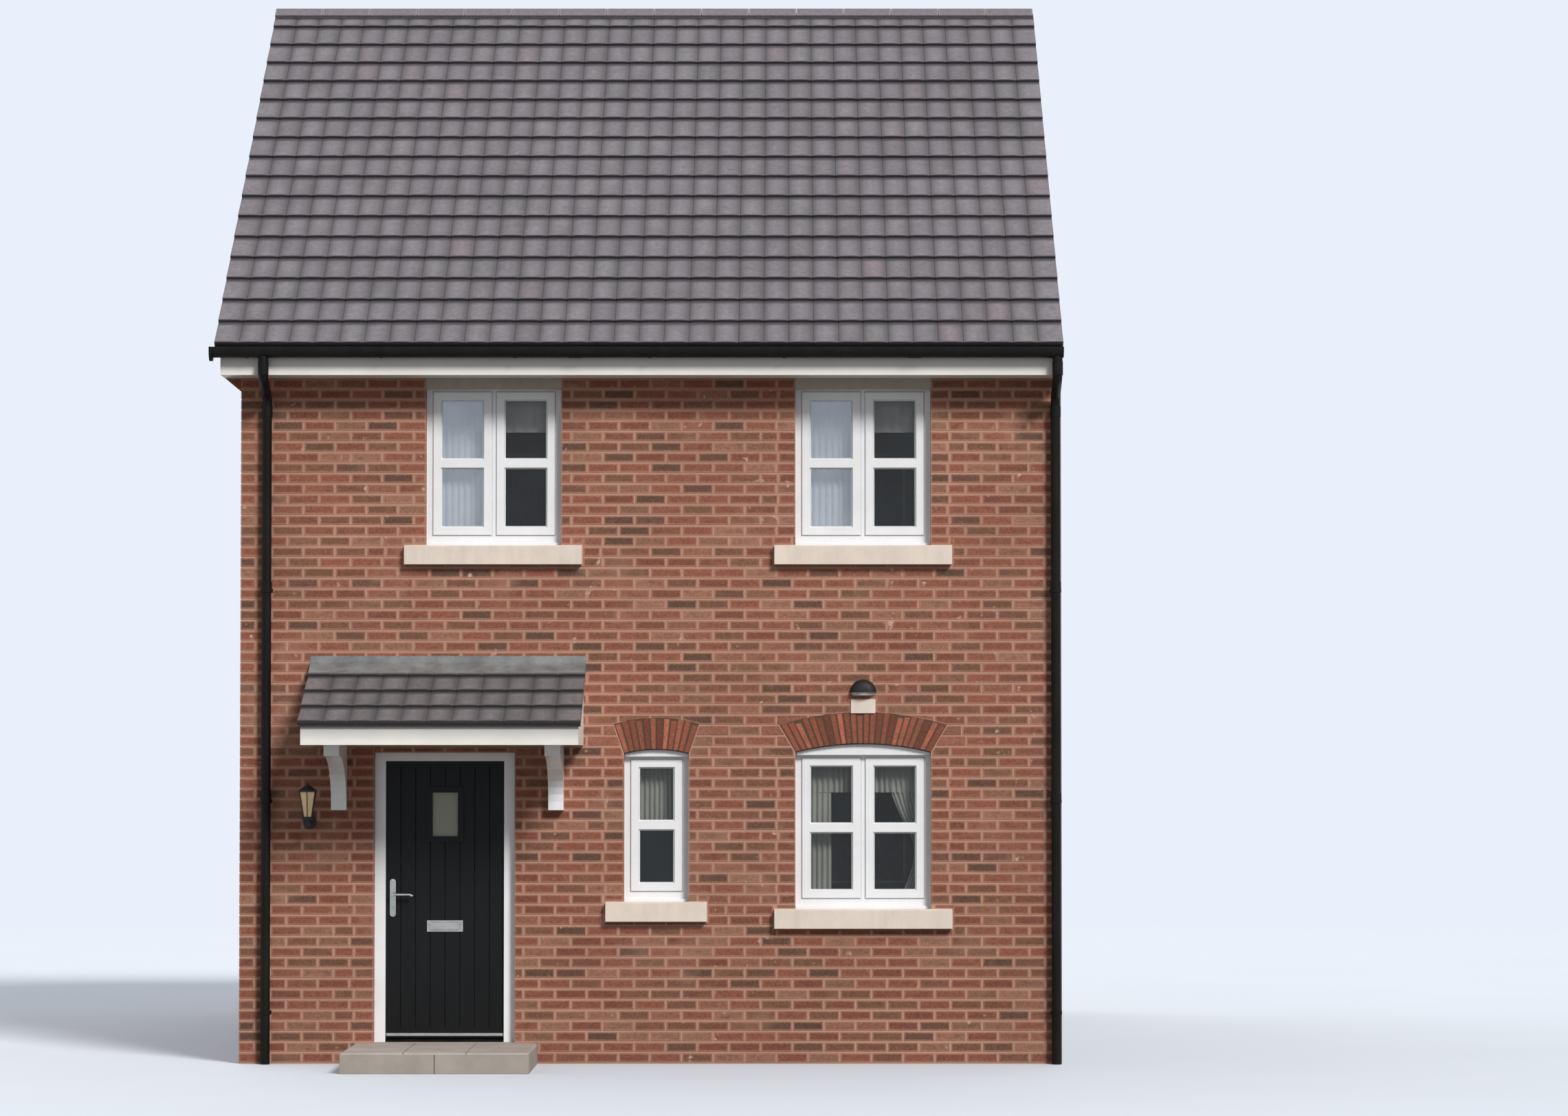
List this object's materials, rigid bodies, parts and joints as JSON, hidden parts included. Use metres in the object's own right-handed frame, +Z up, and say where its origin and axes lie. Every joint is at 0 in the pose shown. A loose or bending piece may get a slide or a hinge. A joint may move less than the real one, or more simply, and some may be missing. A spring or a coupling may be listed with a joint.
{
  "type": "end-of-pair brick house",
  "caption": "Brick house at the left end of a semi-detached pair, with a tiled gable roof, casement windows under arches, a tiled porch canopy and a boarded front door that opens.",
  "frame": {"origin": "on the ground under the middle of the plan between the outer wall faces", "axes": "+X towards the party wall, +Y from the front to the back, +Z up; the front door faces -Y"},
  "size_m": [6.04, 8.814, 8.1243],
  "materials": {
    "concrete": "plain grey concrete, lightly worn",
    "timber": "sawn softwood and boards",
    "plasterboard": "matt plaster",
    "brickwork": "red-brown clay facing bricks with darker ones among them, pale pinkish mortar",
    "blockwork": "plain grey concrete blockwork",
    "roof_tile": "flat interlocking concrete tiles, dark warm grey",
    "white_board": "off-white boards",
    "white_frame": "white window profile",
    "window_glass": "clear double glazing",
    "rainwater": "black rainwater goods",
    "cast_stone": "cream cast stone",
    "curtain": "pale net and curtain cloth",
    "dark_metal": "black paint",
    "lead": "weathered grey lead sheet",
    "lantern_glass": "warm tinted glass",
    "door_paint": "near-black satin",
    "satin_steel": "satin steel",
    "satin_aluminium": "satin aluminium"
  },
  "bodies": {
    "house": {"ground_floor": "concrete", "first_floor": "timber", "upper_ceiling": "plasterboard", "gable_wall": "brickwork", "party_wall": "blockwork", "front_wall_left": "brickwork", "front_wall_over_door": "brickwork", "front_wall_right": "brickwork", "front_wall_upper": "brickwork", "back_wall_lower": "brickwork", "back_wall_upper": "brickwork", "front_roof_deck": "timber", "back_roof_deck": "timber", "front_roof_tiles": "roof_tile", "back_roof_tiles": "roof_tile", "ridge_tiles": "roof_tile", "bargeboards": "white_board", "verge_soffit": "white_board", "fascias": "white_board", "eaves_soffits": "white_board", "gutters": "rainwater", "corner_downpipe": "rainwater", "party_downpipe": "rainwater", "back_downpipe": "rainwater", "eaves_corbels": "brickwork", "upper_window_frames": "white_frame", "upper_casements": "white_frame", "upper_glass": "window_glass", "upper_heads": "cast_stone", "lower_window_frames": "white_frame", "lower_casements": "white_frame", "lower_glass": "window_glass", "window_sills": "cast_stone", "brick_arches": "brickwork", "arch_boards": "white_board", "curtains": "curtain", "door_frame": "white_frame", "door_threshold": "dark_metal", "frame_hinges": "satin_steel", "door_step": "concrete", "canopy_tiles": "roof_tile", "canopy_body": "white_board", "canopy_flashing": "lead", "canopy_brackets": "white_board", "lantern_body": "dark_metal", "lantern_glass": "lantern_glass", "wall_light": "dark_metal", "arch_block": "cast_stone"},
    "door": {"door_leaf": "door_paint", "door_light_surround": "door_paint", "door_light_glass": "window_glass", "weather_bar": "satin_aluminium", "letter_plate": "satin_steel", "handle_plates": "satin_steel", "leaf_hinges": "satin_steel"},
    "lever": {"lever_handle": "satin_steel"},
    "flap": {"letter_flap": "satin_steel"}
  },
  "joints": [
    {"name": "front_door_swing", "type": "hinge", "parent": "house", "child": "door", "pos_m": [-1.033, -3.51, 1.17], "axis": [0, 0, -1], "range_deg": [0, 90]},
    {"name": "lever_turn", "type": "hinge", "parent": "door", "child": "lever", "pos_m": [-1.842, -3.541, 1.199], "axis": [0, 1, 0], "range_deg": [0, 40], "stiffness_Nm_per_rad": 2, "springref_deg": -11.46},
    {"name": "letter_flap_swing", "type": "hinge", "parent": "door", "child": "flap", "pos_m": [-1.47, -3.578, 0.996], "axis": [-1, 0, 0], "range_deg": [0, 70], "stiffness_Nm_per_rad": 0.05, "springref_deg": -17.19}
  ]
}
